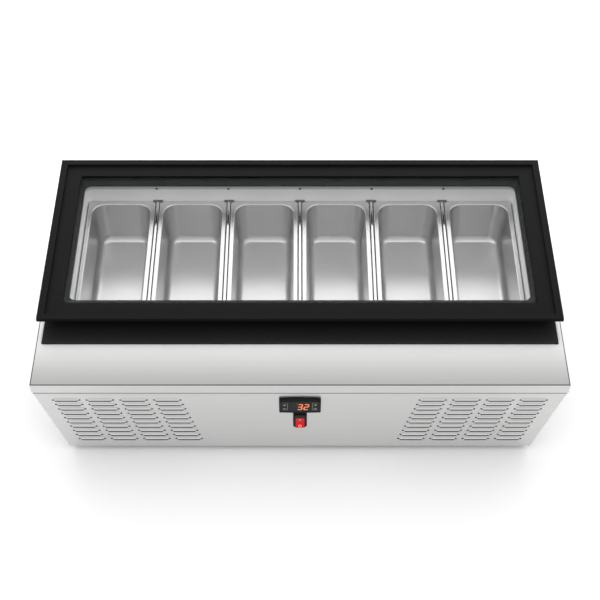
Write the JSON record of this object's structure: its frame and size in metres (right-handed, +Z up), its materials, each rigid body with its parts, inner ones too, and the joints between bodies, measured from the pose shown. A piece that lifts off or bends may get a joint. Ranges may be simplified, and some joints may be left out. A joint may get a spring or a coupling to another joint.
{
  "type": "countertop freezer chest",
  "caption": "Low countertop freezer chest: lift-out steel pans in a recessed well under a hinged black-framed glass lid, louvred front with a controller and rocker switch.",
  "frame": {"origin": "middle of the footprint, on the surface the feet stand on", "axes": "+X to the right as the front is faced, +Y from the front to the back, +Z up"},
  "size_m": [1.17, 0.666, 0.3095],
  "materials": {
    "stainless": "brushed along the length",
    "pan_steel": "deep-drawn, satin",
    "galvanised": "zinc coated sheet",
    "rubber": "matt",
    "foam": "rigid foam",
    "copper": "drawn tube",
    "fin_aluminium": "mill finish",
    "black_plastic": "fine satin",
    "glass": "clear, tempered",
    "display_glass": "smoked window",
    "button_plastic": "satin",
    "red_plastic": "gloss",
    "hinge_steel": "plated",
    "black_enamel": "gloss enamel"
  },
  "bodies": {
    "cabinet": {"base_tray": "galvanised", "bulkhead": "galvanised", "compressor": "black_enamel", "compressor_grommets": "rubber", "condenser_fins": "fin_aluminium", "condenser_tube": "copper", "controller_housing": "black_plastic", "discharge_tube": "copper", "display_lens": "display_glass", "divider_bar_1": "stainless", "divider_bar_2": "stainless", "divider_bar_3": "stainless", "divider_bar_4": "stainless", "divider_bar_5": "stainless", "evaporator_coil": "copper", "fan_bracket": "galvanised", "fan_motor": "black_enamel", "fan_shroud": "black_plastic", "feet": "rubber", "filter_drier": "copper", "front_panel": "stainless", "front_support_rail": "stainless", "hinge_pins": "hinge_steel", "hinge_screws": "hinge_steel", "insulation_foam": "foam", "left_hinge_cabinet_leaf": "hinge_steel", "left_side_panel": "stainless", "power_inlet": "black_plastic", "rear_panel": "galvanised", "rear_panel_screws": "hinge_steel", "rear_support_rail": "stainless", "relay_cover": "black_plastic", "right_hinge_cabinet_leaf": "hinge_steel", "right_side_panel": "stainless", "rocker_switch_housing": "black_plastic", "suction_tube": "copper", "surround_collar": "black_plastic", "temperature_probe": "hinge_steel", "top_cap": "stainless", "well_liner": "stainless", "wiring_box": "black_plastic"},
    "lid": {"lid_frame": "black_plastic", "lid_glass": "glass", "lid_gasket": "rubber", "left_hinge_lid_leaf": "hinge_steel", "right_hinge_lid_leaf": "hinge_steel"},
    "rocker": {"rocker": "red_plastic"},
    "fan": {"fan_blade": "black_plastic"},
    "pan_1": {"pan_1": "pan_steel"},
    "pan_2": {"pan_2": "pan_steel"},
    "pan_3": {"pan_3": "pan_steel"},
    "pan_4": {"pan_4": "pan_steel"},
    "pan_5": {"pan_5": "pan_steel"},
    "pan_6": {"pan_6": "pan_steel"},
    "up_button": {"up_button": "button_plastic"},
    "down_button": {"down_button": "button_plastic"},
    "set_button": {"set_button": "button_plastic"},
    "light_button": {"light_button": "button_plastic"}
  },
  "joints": [
    {"name": "lid_hinge", "type": "hinge", "parent": "cabinet", "child": "lid", "pos_m": [0, 0.322, 0.2935], "axis": [-1, 0, 0], "range_deg": [0, 95]},
    {"name": "pan_1_lift", "type": "slide", "parent": "cabinet", "child": "pan_1", "axis": [0, 0, 1], "range_m": [0, 0.066]},
    {"name": "pan_2_lift", "type": "slide", "parent": "cabinet", "child": "pan_2", "axis": [0, 0, 1], "range_m": [0, 0.066]},
    {"name": "pan_3_lift", "type": "slide", "parent": "cabinet", "child": "pan_3", "axis": [0, 0, 1], "range_m": [0, 0.066]},
    {"name": "pan_4_lift", "type": "slide", "parent": "cabinet", "child": "pan_4", "axis": [0, 0, 1], "range_m": [0, 0.066]},
    {"name": "pan_5_lift", "type": "slide", "parent": "cabinet", "child": "pan_5", "axis": [0, 0, 1], "range_m": [0, 0.066]},
    {"name": "pan_6_lift", "type": "slide", "parent": "cabinet", "child": "pan_6", "axis": [0, 0, 1], "range_m": [0, 0.066]},
    {"name": "up_press", "type": "slide", "parent": "cabinet", "child": "up_button", "axis": [0, 1, 0], "range_m": [0, 0.0006], "stiffness_N_per_m": 400, "springref_m": -0.0003},
    {"name": "down_press", "type": "slide", "parent": "cabinet", "child": "down_button", "axis": [0, 1, 0], "range_m": [0, 0.0006], "stiffness_N_per_m": 400, "springref_m": -0.0003},
    {"name": "set_press", "type": "slide", "parent": "cabinet", "child": "set_button", "axis": [0, 1, 0], "range_m": [0, 0.0006], "stiffness_N_per_m": 400, "springref_m": -0.0003},
    {"name": "light_press", "type": "slide", "parent": "cabinet", "child": "light_button", "axis": [0, 1, 0], "range_m": [0, 0.0006], "stiffness_N_per_m": 400, "springref_m": -0.0003},
    {"name": "rocker_tilt", "type": "hinge", "parent": "cabinet", "child": "rocker", "pos_m": [0, -0.3186, 0.1245], "axis": [1, 0, 0], "range_deg": [0, 14]},
    {"name": "fan_spin", "type": "hinge", "parent": "cabinet", "child": "fan", "pos_m": [-0.316, -0.242, 0.1095], "axis": [1, 0, 0], "continuous": true}
  ]
}
